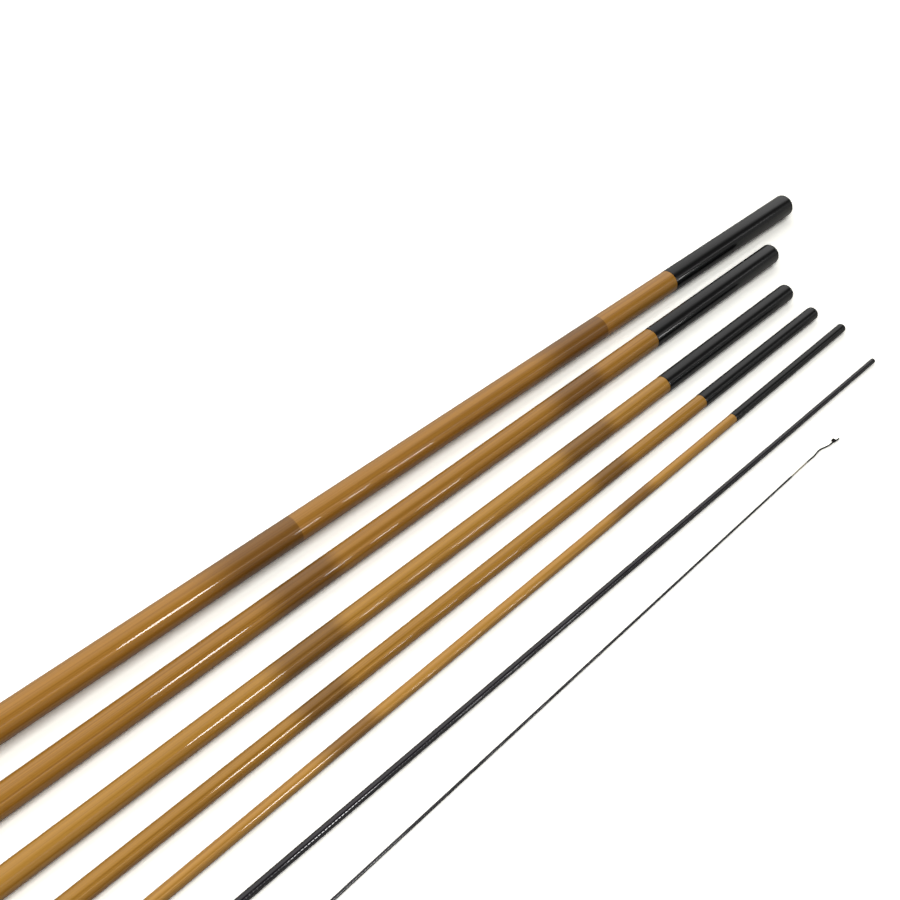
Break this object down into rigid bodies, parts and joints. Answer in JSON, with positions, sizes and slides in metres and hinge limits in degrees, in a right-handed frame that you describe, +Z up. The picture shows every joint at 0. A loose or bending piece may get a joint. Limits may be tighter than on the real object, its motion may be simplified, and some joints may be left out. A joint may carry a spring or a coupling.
{
  "type": "fishing rod",
  "caption": "Fixed-line pole rod in push-in sections, laid out side by side: tapered hollow blanks, black mouth sleeves, spigots, a wound grip, a solid tip and a knotted tip cord.",
  "frame": {"origin": "on the ground, under the middle of the laid-out rod's box", "axes": "+X along the sections towards their mouths and the tip, +Z up, +Y from the tip section's side towards the butt section's side"},
  "size_m": [1.1536, 0.1416, 0.0229],
  "materials": {
    "gold_lacquer": "clear gloss lacquer over a bamboo-gold carbon tube",
    "black_lacquer": "semi-gloss black lacquer over a thread winding",
    "ribbed_carbon": "black, finely ribbed carbon under a thin coat",
    "bare_carbon": "ground bare carbon",
    "grip_cover": "fine dark cord winding, lightly lacquered",
    "grip_core": "cork, unfinished",
    "pale_glass": "bare solid glass fibre",
    "tip_braid": "black braided cord"
  },
  "bodies": {
    "butt_section": {"butt_blank": "gold_lacquer", "butt_mouth_sleeve": "black_lacquer", "grip_core": "grip_core", "grip_cover": "grip_cover", "grip_front_winding": "black_lacquer", "butt_cap": "black_lacquer"},
    "second_section": {"second_blank": "gold_lacquer", "second_mouth_sleeve": "black_lacquer", "second_spigot": "bare_carbon"},
    "third_section": {"third_blank": "gold_lacquer", "third_mouth_sleeve": "black_lacquer", "third_spigot": "bare_carbon"},
    "fourth_section": {"fourth_blank": "gold_lacquer", "fourth_mouth_sleeve": "black_lacquer", "fourth_spigot": "bare_carbon"},
    "fifth_section": {"fifth_blank": "gold_lacquer", "fifth_mouth_sleeve": "black_lacquer", "fifth_spigot": "bare_carbon"},
    "sixth_section": {"sixth_blank": "ribbed_carbon", "sixth_spigot": "bare_carbon"},
    "tip_section": {"tip_blank": "ribbed_carbon", "tip_core": "pale_glass", "tip_cord": "tip_braid"}
  },
  "joints": [
    {"name": "second_push_in", "type": "slide", "parent": "butt_section", "child": "second_section", "axis": [1, 0.0009, -0.0004], "range_m": [-0.08, 0]},
    {"name": "third_push_in", "type": "slide", "parent": "butt_section", "child": "third_section", "axis": [1, 0.0014, -0.0008], "range_m": [-0.08, 0]},
    {"name": "fourth_push_in", "type": "slide", "parent": "butt_section", "child": "fourth_section", "axis": [1, 0.0054, -0.0008], "range_m": [-0.08, 0]},
    {"name": "fifth_push_in", "type": "slide", "parent": "butt_section", "child": "fifth_section", "axis": [1, 0.0091, -0.0008], "range_m": [-0.08, 0]},
    {"name": "sixth_push_in", "type": "slide", "parent": "butt_section", "child": "sixth_section", "axis": [1, -0.0045, -0.001], "range_m": [-0.08, 0]},
    {"name": "tip_push_in", "type": "slide", "parent": "butt_section", "child": "tip_section", "axis": [1, 0.0087, -0.0007], "range_m": [-0.055, 0]}
  ]
}
